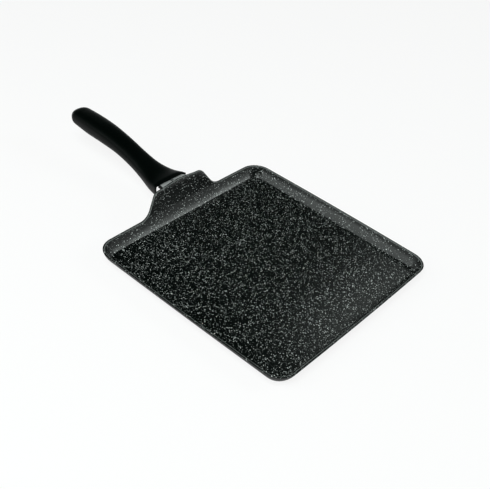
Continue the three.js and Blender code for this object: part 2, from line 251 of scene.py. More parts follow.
coating = dict(
    ground=(0.001, 0.0022, 0.0018, 1),
    rimSheenGround=(0.006, 0.0072, 0.0067, 1),  # lighter on the rim: painted sheen for the light the rim catches
    white=(0.92, 0.96, 0.94, 1),
    fine=(1.1 * mm, 0.46, 7.0),  # cell, widest dot in cells, how rare the bright ones are
    medium=(3.2 * mm, 0.22, 2.0),
    leastDot=0.6, dotEdge=20.0,  # narrowest dot as a share of the widest, and how sharp its edge is
    waver=0.8 * mm, waverReach=0.25 * mm,  # bends the dots' outlines
    wallFrom=3 * mm, wallTo=7 * mm, wallRarity=5.0,  # the steep walls catch fewer drops
    cloud=30 * mm, skin=1.6 * mm,
    roughness=0.2, skinRoughness=0.12, cloudRoughness=0.08, bump=0.03 * mm, ior=1.42,
)
enamel = dict(
    # dark, light, size of the patches
    outside=((0.002, 0.0028, 0.0025, 1), (0.005, 0.006, 0.0056, 1), 18 * mm),
    # painted highlight: the rim's inner bevel is coloured light to stand in for the light line it catches
    wearAndHighlight=((0.02, 0.022, 0.021, 1), (0.2, 0.212, 0.207, 1), 4 * mm),
    patchShare=0.6, pit=0.7 * mm,
    roughness=0.38, pitRoughness=0.16, bump=0.02 * mm, ior=1.5, specular=0.12,
)
phenolic = dict(
    dark=(0.0001, 0.0007, 0.0005, 1), light=(0.0004, 0.0018, 0.0013, 1),
    cloud=14 * mm, cloudShare=0.7, fleck=0.5 * mm,
    roughness=0.36, fleckRoughness=0.1, wearAndHighlight=(0.45, 0.75), rubbedRoughness=0.06,
    bump=0.02 * mm, ior=1.45, specular=0.08,
)
metals = dict(
    # dark, light, streaks to the metre along x, y and z, roughness, metallic
    stampedSteel=((0.36, 0.365, 0.37, 1), (0.5, 0.505, 0.505, 1), (120, 3500, 3500), 0.48, 0.4),
    # painted shade: near black, for the bracket's cut edges, turned-down sides and the rib's sides
    paintedShadeSteel=((0.004, 0.0046, 0.0044, 1), (0.014, 0.015, 0.0148, 1), (300, 300, 2500), 0.7, 0.1),
    zincPlate=((0.46, 0.47, 0.49, 1), (0.68, 0.69, 0.7, 1), (1800, 1800, 1800), 0.28, 1.0),
    bareAluminium=((0.62, 0.63, 0.64, 1), (0.8, 0.8, 0.81, 1), (1500, 1500, 1500), 0.34, 1.0),
    turnedBrass=((0.55, 0.38, 0.15, 1), (0.78, 0.58, 0.27, 1), (900, 900, 4000), 0.3, 1.0),
)
metalGrain = dict(stain=5 * mm, streakShare=0.6, streakRoughness=0.18, stainRoughness=0.12, bump=0.008 * mm)


def dots(wire, place, layer, thinned=0.0):
    cell, reach, rarity = layer
    away = wire.add("ShaderNodeTexVoronoi", {}, {"Vector": place, "Scale": 1 / cell}, "Distance")
    chance = wire.add("ShaderNodeSeparateColor", {}, {"Color": away.out("Color")}, "Red")
    size = (chance.out("Green") * (1 - coating["leastDot"]) + coating["leastDot"]) * reach
    return ((size - away) * coating["dotEdge"]).clamped() * chance ** (rarity + thinned)


def makeCoating(name, ground):
    material, wire = newFinish(name)
    place = objectPlace(wire)
    waver = grain(wire, place, coating["waver"], detail=1.0).out("Color")
    drift = wire.add("ShaderNodeVectorMath", {"operation": "MULTIPLY_ADD"},
                     {0: waver, 1: (coating["waverReach"],) * 3, 2: place})
    level = wire.add("ShaderNodeSeparateXYZ", {}, {"Vector": place}, "Z")
    thinned = level.eased(coating["wallFrom"], coating["wallTo"]) * coating["wallRarity"]
    share = (dots(wire, drift, coating["fine"], thinned) + dots(wire, drift, coating["medium"])).clamped()
    skin = grain(wire, place, coating["skin"], detail=3.0)
    cloud = grain(wire, place, coating["cloud"])
    roughness = (coating["roughness"] + (skin - 0.5) * coating["skinRoughness"]
                 + (cloud - 0.5) * coating["cloudRoughness"])
    coatSurface(wire, {
        "Base Color": blend(wire, share, ground, coating["white"]),
        "Roughness": roughness,
        "Normal": bumped(wire, skin * 0.5 + share * 0.5, coating["bump"]),
        "IOR": coating["ior"],
    })
    return material


def makeEnamel(name, dark, light, patch):
    material, wire = newFinish(name)
    place = objectPlace(wire)
    pit = grain(wire, place, enamel["pit"], detail=3.0)
    mottle = grain(wire, place, patch) * enamel["patchShare"] + pit * (1 - enamel["patchShare"])
    coatSurface(wire, {
        "Base Color": blend(wire, mottle, dark, light),
        "Roughness": enamel["roughness"] + pit * enamel["pitRoughness"],
        "Normal": bumped(wire, pit, enamel["bump"]),
        "IOR": enamel["ior"], "Specular IOR Level": enamel["specular"],
    })
    return material


def makePhenolic():
    material, wire = newFinish("satinPhenolic")
    place = objectPlace(wire)
    cloud = grain(wire, place, phenolic["cloud"])
    fleck = grain(wire, place, phenolic["fleck"], detail=3.0)
    mottle = cloud * phenolic["cloudShare"] + fleck * (1 - phenolic["cloudShare"])
    roughness = (phenolic["roughness"] + fleck * phenolic["fleckRoughness"]
                 - cloud.eased(*phenolic["wearAndHighlight"]) * phenolic["rubbedRoughness"])
    coatSurface(wire, {
        "Base Color": blend(wire, mottle, phenolic["dark"], phenolic["light"]),
        "Roughness": roughness,
        "Normal": bumped(wire, fleck, phenolic["bump"]),
        "IOR": phenolic["ior"], "Specular IOR Level": phenolic["specular"],
    })
    return material


def makeMetal(name, dark, light, streaks, roughness, metallic):
    material, wire = newFinish(name)
    place = objectPlace(wire)
    drawn = wire.add("ShaderNodeMapping", {}, {"Vector": place, "Scale": streaks})
    streak = grain(wire, drawn, 1.0, detail=3.0)
    stain = grain(wire, place, metalGrain["stain"])
    mottle = streak * metalGrain["streakShare"] + stain * (1 - metalGrain["streakShare"])
    uneven = (streak - 0.5) * metalGrain["streakRoughness"] + (stain - 0.5) * metalGrain["stainRoughness"]
    coatSurface(wire, {
        "Base Color": blend(wire, mottle, dark, light),
        "Roughness": roughness + uneven,
        "Normal": bumped(wire, streak, metalGrain["bump"]),
        "Metallic": metallic,
    })
    return material


coatingFinish = makeCoating("speckledCoating", coating["ground"])
# the rim's coating, with a painted sheen in its ground
rimFinish = makeCoating("rimCoating", coating["rimSheenGround"])
enamelFinish = makeEnamel("blackEnamel", *enamel["outside"])
# painted highlight along the rim's inner edge
highlightEdgeFinish = makeEnamel("paintedHighlightEdge", *enamel["wearAndHighlight"])
phenolicFinish = makePhenolic()
metalFinish = {name: makeMetal(name, *looks) for name, looks in metals.items()}
print("finishes made")


# tray

tray = dict(
    floorHalf=128 * mm, floorCorner=12 * mm, sheet=2.5 * mm,
    wallHeight=13.4 * mm, lean=8.4 * mm, bow=1 * mm,  # lean at a corner, and what the middle of a side adds
    wallHollow=0.8 * mm, tabHollow=0.35 * mm,  # how far the wall curves out between floor and rim
    insideFillet=2 * mm, baseFillet=10 * mm, floorInset=3 * mm,
    rimInside=0.7 * mm, rimOutside=0.3 * mm, rimTrim=0.45 * mm,
    rows=(6.4, 8.2, 10, 11.8, 15.4, 17.4, 19.4, 21.4, 25, 29, 33, 36.5),  # cuts across the walls, in mm
    columns=(0, 16, 32, 48, 64, 80, 98),
    cornerSteps=10, filletSteps=6, rimSteps=3,
)
tab = dict(
    rise=25.6 * mm, crown=2.8 * mm, topHalf=39.6 * mm, flankRun=18 * mm,
    shoulder=10.5 * mm, foot=20 * mm, angle=radians(73), bend=8 * mm,
    footSteps=12, shoulderSteps=8, topSteps=12,
)
insideSkin, outsideSkin, rimSkin, highlightSkin = range(4)  # the tray's material slots
sideHalf = tray["floorHalf"] - tray["floorCorner"]
rimLevel = tray["sheet"] + tray["wallHeight"]


def arc(corner, toBefore, toAfter, radius, steps):
    half = acos(max(-1, min(1, toBefore.dot(toAfter)))) / 2
    start = corner + toBefore * (radius / tan(half))
    middle = corner + (toBefore + toAfter).normalized() * (radius / sin(half))
    end = corner + toAfter * (radius / tan(half))
    first, last = (start - middle).normalized(), (end - middle).normalized()
    return [middle + first.slerp(last, k / steps) * radius for k in range(steps + 1)]


def tabEdge():  # half of the tab's edge, from the rim to its middle, as (along, above the rim)
    footCorner = Vector((-tab["topHalf"] - tab["flankRun"], 0, 0))
    shoulderCorner = Vector((-tab["topHalf"], tab["rise"], 0))
    flank = (shoulderCorner - footCorner).normalized()
    left = Vector((-1, 0, 0))
    edge = arc(footCorner, left, flank, tab["foot"], tab["footSteps"])
    edge += arc(shoulderCorner, -flank, -left, tab["shoulder"], tab["shoulderSteps"])
    lastAlong, steps = edge[-1].x, tab["topSteps"]
    edge += [Vector((lastAlong * (1 - k / steps), tab["rise"], 0)) for k in range(1, steps + 1)]
    for point in edge:
        share = min(abs(point.x) / tab["topHalf"], 1)
        point.y += tab["crown"] * (1 + cos(pi * share)) / 2
    return edge


halfEdge = tabEdge()


def tabRise(along):
    back = -abs(along)
    if back <= halfEdge[0].x:
        return 0.0
    for a, b in zip(halfEdge, halfEdge[1:]):
        if back <= b.x:
            return a.y + (b.y - a.y) * (back - a.x) / max(b.x - a.x, 1e-9)
    return halfEdge[-1].y


def leanAt(along, height, rise):  # how far out the inside of the wall is, at a height above the floor
    wallSlope = (tray["lean"] + tray["bow"] * (1 - (along / sideHalf) ** 2)) / tray["wallHeight"]
    tabSlope = 1 / tan(tab["angle"])
    bend = min(tab["bend"], rise)
    above = height - tray["wallHeight"]
    share = max(0, min(1, (above + bend) / (2 * bend))) if bend > 0 else 0
    climb = min(1, height / (tray["wallHeight"] + bend))
    hollow = tray["wallHollow"] + (tray["tabHollow"] - tray["wallHollow"]) * bend / tab["bend"]
    straight = wallSlope * height + (tabSlope - wallSlope) * (share ** 2 * bend + max(0, above - bend))
    return straight + 4 * hollow * climb * (1 - climb)


def leanOut(point):  # how far a point is outside the floor's edge
    past = Vector((max(0, abs(point.x) - sideHalf), max(0, abs(point.y) - sideHalf)))
    return past.length - tray["floorCorner"]


def drawTray():
    fresh()
    bpy.ops.mesh.primitive_plane_add(size=2 * tray["floorHalf"], location=(0, 0, tray["sheet"]))
    piece = shapeUp("tray")
    pickAll("VERT")
    roundCorners(tray["floorCorner"], tray["cornerSteps"])
    pickAll("EDGE")
    extrudeEdges((0, 0, tray["wallHeight"]))
    return piece


def drawTab():  # a flat blank on the wall's edge, drawn along its outline and filled
    half = tray["floorHalf"]
    edge = halfEdge + [Vector((-p.x, p.y, 0)) for p in reversed(halfEdge[:-1])]
    for y in (edge[0].x, edge[-1].x):
        pick("FACE", lambda f: abs(f.normal.x) > mostly)
        cutAt((0, y, 0), (0, 1, 0))
    first = Vector((-half, edge[0].x, rimLevel))
    pick("VERT", lambda v: (v.co - first).length < near)
    for a, b in zip(edge, edge[1:]):
        bpy.ops.mesh.extrude_vertices_move(TRANSFORM_OT_translate={"value": (0, b.x - a.x, b.y - a.y)})
    bpy.ops.mesh.select_all(action="SELECT")
    bpy.ops.mesh.remove_doubles(threshold=near)
    pick("EDGE", lambda e: all(abs(v.co.x + half) < near and v.co.z > rimLevel - near
                               and abs(v.co.y) < -edge[0].x + near for v in e.verts))
    bpy.ops.mesh.edge_face_add()


def cutWalls():
    def cutUpright(point, direction):
        pick("FACE", lambda f: abs(f.normal.z) < mostly)
        cutAt(point, direction)

    for row in tray["rows"]:
        cutUpright((0, 0, tray["sheet"] + row * mm), (0, 0, 1))
    for column in tray["columns"]:
        for place in {column * mm, -column * mm}:
            for across in ((1, 0, 0), (0, 1, 0)):
                cutUpright(Vector(across) * place, across)


def leanSides():
    half, sheet = tray["floorHalf"], tray["sheet"]
    for side in (Vector((1, 0, 0)), Vector((0, 1, 0)), Vector((-1, 0, 0)), Vector((0, -1, 0))):
        along = Vector((-side.y, side.x, 0))

        def onSide(v):
            return abs(v.co.dot(side) - half) < near and v.co.z > sheet + near

        spots = sorted({(round(abs(p.dot(along)), 6), round(p.z, 6)) for p in places(onSide)})
        for s, z in spots:
            pick("VERT", lambda v: onSide(v) and abs(abs(v.co.dot(along)) - s) < near
                 and abs(v.co.z - z) < near)
            rise = tabRise(s) if side.x < 0 else 0.0  # the tab is on the -X side
            move(side * leanAt(s, z - sheet, rise))


def leanCorners():
    height, corner = tray["wallHeight"], tray["floorCorner"]
    for above in [height] + [row * mm for row in tray["rows"] if row * mm < height]:
        level = tray["sheet"] + above
        grow = (corner + leanAt(sideHalf, above, 0)) / corner
        for x, y in ((1, 1), (-1, 1), (-1, -1), (1, -1)):
            pick("VERT", lambda v: v.co.x * x > sideHalf + near and v.co.y * y > sideHalf + near
                 and abs(v.co.z - level) < near)
            stretch(grow, grow, 1, (x * sideHalf, y * sideHalf, level))


def faceUp(piece):
    pickAll("FACE")
    bpy.ops.mesh.normals_make_consistent(inside=False)
    if sum(f.normal.z * f.calc_area() for f in bmesh.from_edit_mesh(piece.data).faces) < 0:
        bpy.ops.mesh.flip_normals()


def trimRim(piece):  # the thickened sheet's outer edge comes level with its inner one
    rimPairs = []
    for e in bmesh.from_edit_mesh(piece.data).edges:
        if all(f.material_index == rimSkin for f in e.link_faces):
            rimPairs.append(sorted((v.co.copy() for v in e.verts), key=lambda co: co.z))
    for outer, inner in rimPairs:
        away = Vector((outer.x - inner.x, outer.y - inner.y, 0)).normalized()
        width = tray["sheet"] * hypot(1, leanOut(inner) / (inner.z - tray["sheet"])) - tray["rimTrim"]
        pick("VERT", lambda v: (v.co - outer).length < near)
        move(inner + away * width - outer)


def roundTray():
    halfTurn = atan2(tray["wallHeight"], tray["lean"] + tray["bow"] / 2) / 2
    for level, radius in ((tray["sheet"], tray["insideFillet"]), (0, tray["baseFillet"])):
        pick("EDGE", lambda e: all(abs(v.co.z - level) < slack for v in e.verts)
             and e.calc_face_angle(0) > sharp)
        bevelEdges(radius * tan(halfTurn), tray["filletSteps"])
    pick("FACE", lambda f: f.calc_area() > sideHalf ** 2)  # the floor and the underside
    bpy.ops.mesh.inset(thickness=tray["floorInset"])
    # the outer bevel takes the rim coating with its painted sheen, the inner bevel the painted highlight
    rims = ((outsideSkin, tray["rimOutside"], rimSkin), (insideSkin, tray["rimInside"], highlightSkin))
    for skin, width, bevelSkin in rims:
        pick("EDGE", lambda e: {f.material_index for f in e.link_faces} == {skin, rimSkin})
        bevelEdges(width, tray["rimSteps"], material=bevelSkin)


def makeTray():
    piece = drawTray()
    drawTab()
    cutWalls()
    leanSides()
    leanCorners()
    faceUp(piece)
    for skin in (coatingFinish, enamelFinish, rimFinish, highlightEdgeFinish):
        piece.data.materials.append(skin)
    modify(piece, "SOLIDIFY", thickness=tray["sheet"], offset=-1, use_even_offset=True,
           use_quality_normals=True, material_offset=outsideSkin, material_offset_rim=rimSkin)
    editAgain(piece)
    trimRim(piece)
    roundTray()
    leaveEdit()
    return piece


trayPiece = makeTray()
finish(trayPiece, "pan_body", smooth=40)
print("tray", len(trayPiece.data.polygons))


# grip

grip = dict(
    mouthGap=10.3 * mm, length=180.5 * mm, rise=7.8 * mm,
    palmHalf=15.4 * mm, palmCrest=8.48 * mm, palmBelly=15.4 * mm,
    endRound=12 * mm, endBlunt=0.06,  # the last ring's size beside the first of the rounding
    hoodWall=2 * mm, hoodSpare=6 * mm, slotLip=5 * mm, slotHeight=8 * mm, slotShort=0.5 * mm,
    mouthRound=0.4 * mm, mouthSteps=3, crestFullness=2.4, fullnessStep=0.01,
    ringSides=48, ringSteps=46, endSteps=10, hoodSteps=12, coreSteps=8, slotSteps=6,
    # share of the way along, then widest line, crest, belly and half width as shares of the sizes above,
    # and how full the belly is: 2 is an ellipse, more is squarer
    stations=(
        (0, -0.85, 0.54, 1.27, 1.7, 3.3),
        (0.1, -1.414, 0.82, 1.04, 1.41, 2.6),
        (0.21, -1.155, 0.85, 0.9, 1.08, 2.6),
        (0.332, -0.388, 0.75, 0.88, 0.935, 2.6),
        (0.482, 0.413, 0.81, 0.88, 0.935, 2.6),
        (0.648, 0.876, 0.93, 0.98, 0.995, 2.6),
        (0.814, 1, 1, 1, 1, 2.6),
        (1, 0.898, 1.06, 0.66, 0.92, 2.6),
    ),
)
tabLean = tray["lean"] + tray["bow"]
shoulderLevel = rimLevel + tab["rise"]
tabBackX = (-tray["floorHalf"] - tabLean - tray["sheet"] / sin(tab["angle"])
            - (tab["rise"] + tab["crown"]) / tan(tab["angle"]))
mouthX = tabBackX - grip["mouthGap"]
Ring = namedtuple("Ring", "x level up down half fullness")  # level of the widest line, then reach from it
tiny = 0.001  # a share of a ring's reach that counts as nothing


def gripShare(key, place):
    rows = grip["stations"]
    i = max(k for k in range(len(rows) - 1) if rows[k][0] <= place)
    before, start, end, after = (rows[max(0, min(len(rows) - 1, k))] for k in (i - 1, i, i + 1, i + 2))
    run = end[0] - start[0]
    leave = run * (end[key] - before[key]) / (end[0] - before[0])
    arrive = run * (after[key] - start[key]) / (after[0] - start[0])
    t = (place - start[0]) / run
    rise = end[key] - start[key]
    return start[key] + leave * t + ((leave + arrive - 2 * rise) * t + 3 * rise - 2 * leave - arrive) * t * t


def gripRing(back, drawIn=0.0, shrink=1.0):
    place = min(max(back / grip["length"], 0), 1)
    line, crest, belly, width, fullness = (gripShare(key, place) for key in range(1, 6))
    up = (grip["palmCrest"] * crest - drawIn) * shrink
    down = (grip["palmBelly"] * belly - drawIn) * shrink
    half = (grip["palmHalf"] * width - drawIn) * shrink
    return Ring(mouthX - back, shoulderLevel + grip["rise"] * line, up, down, half, fullness)


def fillBelly(ring, fullness):  # squares up the picked ring below its widest line, from its fullness so far
    chosen = [co for co in places(lambda v: v.select) if co.z < ring.level - exact and co.y > -exact]
    power = fullness / ring.fullness - 1
    for co in chosen:
        across, below = max(co.y / ring.half, tiny), max((ring.level - co.z) / ring.down, tiny)
        pick("VERT", lambda v: abs(v.co.x - co.x) < exact and abs(abs(v.co.y) - abs(co.y)) < exact
             and abs(v.co.z - co.z) < exact)
        stretch(1, across ** power, below ** power, (ring.x, 0, ring.level))


def shapeRing(ring, before):  # scales the picked ring from the sizes before, above and below its widest line
    def onRing(face):
        return len(face.verts) > 4 and all(abs(v.co.x - ring.x) < exact for v in face.verts)

    chosen = [co.freeze() for co in places(lambda v: v.select)]
    middle = (ring.x, 0, ring.level)
    upper = {co for co in chosen if co.z > ring.level + exact}
    lower = {co for co in chosen if co.z < ring.level - exact}
    for part, grow in ((upper, ring.up / before.up), (lower, ring.down / before.down)):
        pick("VERT", lambda v: v.co.copy().freeze() in part)
        stretch(1, 1, grow, middle)
    pick("FACE", onRing)
    stretch(1, ring.half / before.half, 1, middle)
    if abs(ring.fullness - before.fullness) > grip["fullnessStep"]:
        fillBelly(ring, before.fullness)
        pick("FACE", onRing)


def loftOn(ring, rings):  # extrudes the picked end face from ring to ring
    for onward in rings:
        extrudeFace((onward.x - ring.x, 0, onward.level - ring.level))
        shapeRing(onward, ring)
        ring = onward


def loftGrip(name, rings):
    fresh()
    bpy.ops.mesh.primitive_circle_add(vertices=grip["ringSides"], radius=1, fill_type="NGON",
                                      rotation=(0, pi / 2, 0))
    piece = shapeUp(name)
    first = rings[0]
    quarters = sorted({(round(abs(p.y), 5), round(p.z, 5)) for p in places(lambda v: True)})
    for y, z in quarters:  # the circle is filled out towards its corners
        power = 2 / (grip["crestFullness"] if z >= 0 else first.fullness) - 1
        if y > tiny and abs(z) > tiny:
            pick("VERT", lambda v: abs(abs(v.co.y) - y) < tiny / 10 and abs(v.co.z - z) < tiny / 10)
            stretch(1, y ** power, abs(z) ** power, (0, 0, 0))
    pickAll("FACE")
    move((first.x, 0, first.level))
    shapeRing(first, Ring(0, 0, 1, 1, 1, first.fullness))
    loftOn(first, rings[1:])
    outward()
    return piece


def slotHalf(back):
    return gripRing(back).half - grip["hoodWall"] - grip["slotLip"]


def slotCutter(depth):
    tall = grip["hoodWall"] + grip["slotHeight"]

    def outline(back):  # x, middle level and width
        ring = gripRing(back)
        low = ring.level - ring.down - grip["hoodWall"]
        return ring.x, low + tall / 2, slotHalf(max(back, 0)) * 2

    fresh()
    bpy.ops.mesh.primitive_plane_add(size=1, rotation=(0, pi / 2, 0))
    piece = shapeUp("slotCutter")
    steps = grip["slotSteps"]
    x, level, width = outline(-grip["hoodWall"])
    stretch(1, width, tall, (0, 0, 0))
    move((x, 0, level))
    for stop in [depth * k / steps for k in range(steps + 1)]:
        nextX, nextLevel, nextWidth = outline(stop)
        pick("FACE", lambda f: all(abs(v.co.x - x) < exact for v in f.verts))
        extrudeFace((nextX - x, 0, nextLevel - level))
        stretch(1, nextWidth / width, 1, (nextX, 0, nextLevel))
        x, level, width = nextX, nextLevel, nextWidth
    outward()
    leaveEdit()
    return piece


def turn(name, profile, sides=32, hollow=False):  # a disc is extruded and scaled along (radius, height)
    fresh()
    radius, height = profile[0]
    bpy.ops.mesh.primitive_circle_add(vertices=sides, radius=radius, fill_type="NGON",
                                      location=(0, 0, height))
    piece = shapeUp(name)
    pickAll("FACE")
    for nextRadius, nextHeight in profile[1:]:
        extrudeFace((0, 0, nextHeight - height))
        stretch(nextRadius / radius, nextRadius / radius, 1, (0, 0, nextHeight))
        radius, height = nextRadius, nextHeight
    if hollow:  # the last loop comes back down a bore beside the first, and the two are joined
        bpy.ops.mesh.delete(type="ONLY_FACE")
        pick("FACE", lambda f: len(f.verts) == sides)
        bpy.ops.mesh.delete(type="ONLY_FACE")
        pick("EDGE", lambda e: e.is_boundary)
        bpy.ops.mesh.bridge_edge_loops()
    outward()
    leaveEdit()
    return piece


# bracket lines in the plane y = 0, shared by the strip, the studs and the grip's screw

bracket = dict(
    thickness=2 * mm, flangeHalf=21 * mm, flangeLength=15 * mm, bendRadius=4 * mm, bendSteps=6,
    drop=radians(14), sideGap=1 * mm, endReach=8 * mm, roofGap=1 * mm,
    ribHalf=1.4 * mm, ribRamp=1 * mm, ribDepth=1.1 * mm, beadHalf=0.4 * mm,
    ribSteep=0.3, ribDark=0.6 * mm,  # painted shade on the rib's steep sides, to this far under the tongue's middle
    lipWidth=1.4 * mm, lipDrop=4 * mm, lipReach=6 * mm,
    edge=0.25 * mm, edgeSteps=2, edgeAngle=radians(50),
)
screw = dict(
    back=32 * mm, radius=2.5 * mm, root=2.1 * mm, pitch=0.8 * mm, neck=0.6 * mm, taper=0.5 * mm, tip=1.6 * mm,
    headRadius=4.5 * mm, headHeight=3 * mm, headSide=1.8 * mm, headFlat=0.3, sides=32,
    dome=1.6 * mm, domeTurns=(0.55, 0.85, 1.15, 1.4),
    recessWidth=1.2 * mm, recessReach=2.6 * mm, recessDepth=1.5 * mm, recessTaper=(0.55, 0.7),
    washerRadius=6 * mm, washerThickness=1 * mm, washerSoft=0.15 * mm, washerSides=40,
    insertRadius=4.3 * mm, insertLength=7 * mm, insertRoof=1.2 * mm, bossWall=3 * mm,
)
stud = dict(
    radius=2.5 * mm, root=2.1 * mm, pitch=0.8 * mm, neck=0.4 * mm, taper=0.5 * mm, tip=1.7 * mm,
    margin=8.5 * mm, drop=7 * mm, end=1.2 * mm, sides=28,
)
fit = 0.3 * mm  # clearance between neighbours
flangeUp = Vector((-cos(tab["angle"]), 0, sin(tab["angle"])))
tabOutward = Vector((-sin(tab["angle"]), 0, -cos(tab["angle"])))
tongueBack = Vector((-cos(bracket["drop"]), 0, -sin(bracket["drop"])))
tongueUp = Vector((-sin(bracket["drop"]), 0, cos(bracket["drop"])))
tabBackTop = Vector((tabBackX, 0, shoulderLevel + tab["crown"]))
flangeMiddle = tabBackTop + tabOutward * (fit + bracket["thickness"] / 2)
mouthRoof = gripRing(0).level + gripRing(0).up - grip["hoodWall"]
tongueMouth = Vector((mouthX, 0, mouthRoof - bracket["roofGap"])) - tongueUp * (bracket["thickness"] / 2)
knee = flangeMiddle + flangeUp * ((tongueMouth - flangeMiddle).dot(tongueUp) / flangeUp.dot(tongueUp))
kneeTurn = acos(flangeUp.dot(tongueBack))
kneeReach = bracket["bendRadius"] * tan(kneeTurn / 2)
flangeTop = knee - flangeUp * kneeReach
bendCentre = flangeTop + Vector((-flangeUp.z, 0, flangeUp.x)) * bracket["bendRadius"]
screwPlace = knee + tongueBack * ((knee.x - mouthX + screw["back"]) / cos(bracket["drop"]))
hoodDepth = screw["back"] + bracket["endReach"] + grip["hoodSpare"]


def studPlace(side):
    place = flangeTop - flangeUp * stud["drop"] - tabOutward * (bracket["thickness"] / 2)
    place.y = side * (bracket["flangeHalf"] - stud["margin"])
    return place


def makeGrip():
    roundStart = grip["length"] - grip["endRound"]
    rings = [gripRing(roundStart * k / grip["ringSteps"]) for k in range(grip["ringSteps"])]
    for k in range(grip["endSteps"] + 1):
        turned = acos(grip["endBlunt"]) * k / grip["endSteps"]
        rings.append(gripRing(roundStart + grip["endRound"] * sin(turned), shrink=cos(turned)))
    piece = loftGrip("grip", rings)
    pick("FACE", lambda f: f.normal.x > mostly and len(f.verts) > 4)  # the mouth, drawn in to make the hood
    steps = grip["hoodSteps"]
    loftOn(rings[0], [gripRing(hoodDepth * k / steps, drawIn=grip["hoodWall"]) for k in range(steps + 1)])
    outward()
    steps = grip["coreSteps"]
    coreStops = [hoodDepth * k / steps for k in range(2, steps + 1)]  # from a little behind the mouth
    core = loftGrip("bossCore", [gripRing(stop, drawIn=grip["hoodWall"] / 2) for stop in coreStops])
    bossFoot = bracket["thickness"] / 2 + fit
    bossRadius = screw["insertRadius"] + screw["bossWall"]
    boss = turn("boss", [(bossRadius, bossFoot), (bossRadius, hoodDepth)])
    stand(boss, tongueUp, screwPlace)
    combine(boss, core, "INTERSECT")
    combine(piece, boss, "UNION")
    combine(piece, slotCutter(hoodDepth - grip["slotShort"]), "DIFFERENCE")
    pocketRadius = screw["insertRadius"] + fit
    pocket = turn("pocket", [(pocketRadius, 0), (pocketRadius, bossFoot + screw["insertLength"] + fit)])
    stand(pocket, tongueUp, screwPlace)
    combine(piece, pocket, "DIFFERENCE")
    editAgain(piece)
    pick("EDGE", lambda e: all(abs(v.co.x - mouthX) < near for v in e.verts)
         and e.calc_face_angle(0) > sharp)
    bevelEdges(grip["mouthRound"], grip["mouthSteps"])
    leaveEdit()
    return piece


gripPiece = makeGrip()
finish(gripPiece, "handle_grip", phenolicFinish, smooth=40)
print("grip", len(gripPiece.data.polygons))


# bracket

shadeSkin = 1  # the bracket's second material slot, with painted shade for its cut edges, turned-down sides and rib sides
ribTop = bracket["ribHalf"] + bracket["ribRamp"]
mouthRun = (knee.x - mouthX) / cos(bracket["drop"])  # runs go along the tongue from the knee
lipRun = mouthRun + bracket["lipReach"]
screwRun = (screwPlace - knee).length
ribEnd = screwRun - screw["washerRadius"] - screw["bossWall"]
endRun = screwRun + bracket["endReach"]
mouthHalf = slotHalf(0) - bracket["sideGap"]
endHalf = slotHalf(screw["back"] + bracket["endReach"]) - bracket["sideGap"]


def tongueHalf(run):
    return mouthHalf + (endHalf - mouthHalf) * (run - mouthRun) / (endRun - mouthRun)


def onLine(v, point, reach=near):  # on the line across the strip through a point
    return hypot(v.co.x - point.x, v.co.z - point.z) < reach


def pickAcross(width, point, reach):
    pick("VERT", lambda v: abs(v.co.y) < width + near and onLine(v, point, reach))


def runOf(face):
    return (face.calc_center_median() - knee).dot(tongueBack)


def drawStrip():
    fresh()
    middle = flangeTop - flangeUp * (bracket["flangeLength"] / 2)
    bpy.ops.mesh.primitive_plane_add(size=1, rotation=(0, tab["angle"] - pi, 0), location=middle)
    bpy.context.object.scale = (bracket["flangeLength"], 2 * bracket["flangeHalf"], 1)
    piece = shapeUp("bracketStrip")
    for line in (ribTop, bracket["ribHalf"], bracket["beadHalf"]):
        for y in (line, -line):
            pickAll("FACE")
            cutAt((0, y, 0), (0, 1, 0))
    pick("EDGE", lambda e: all(onLine(v, flangeTop) for v in e.verts))
    bpy.ops.mesh.spin(steps=bracket["bendSteps"], angle=-kneeTurn, center=bendCentre, axis=(0, -1, 0))
    place, width = knee + tongueBack * kneeReach, bracket["flangeHalf"]
    for run in (mouthRun, ribEnd - bracket["ribRamp"], ribEnd + bracket["ribRamp"], endRun):
        target = knee + tongueBack * run
        pick("EDGE", lambda e: all(onLine(v, place) for v in e.verts))
        extrudeEdges(target - place)
        pick("VERT", lambda v: onLine(v, target) and abs(v.co.y) > ribTop + near)
        stretch(1, tongueHalf(run) / width, 1, (0, 0, 0))
        place, width = target, tongueHalf(run)
    return piece


def ribStops():  # place, way up and depth along the rib, which fades out through the bend
    stops, steps = [], bracket["bendSteps"]
    for k in range(1, steps + 1):
        spoke = Matrix.Rotation(kneeTurn * k / steps, 3, Vector((0, -1, 0))) @ (flangeTop - bendCentre)
        stops.append((bendCentre + spoke, spoke.normalized(), bracket["ribDepth"] * k / steps))
    for run in (mouthRun, ribEnd - bracket["ribRamp"]):
        stops.append((knee + tongueBack * run, tongueUp, bracket["ribDepth"]))
    return stops


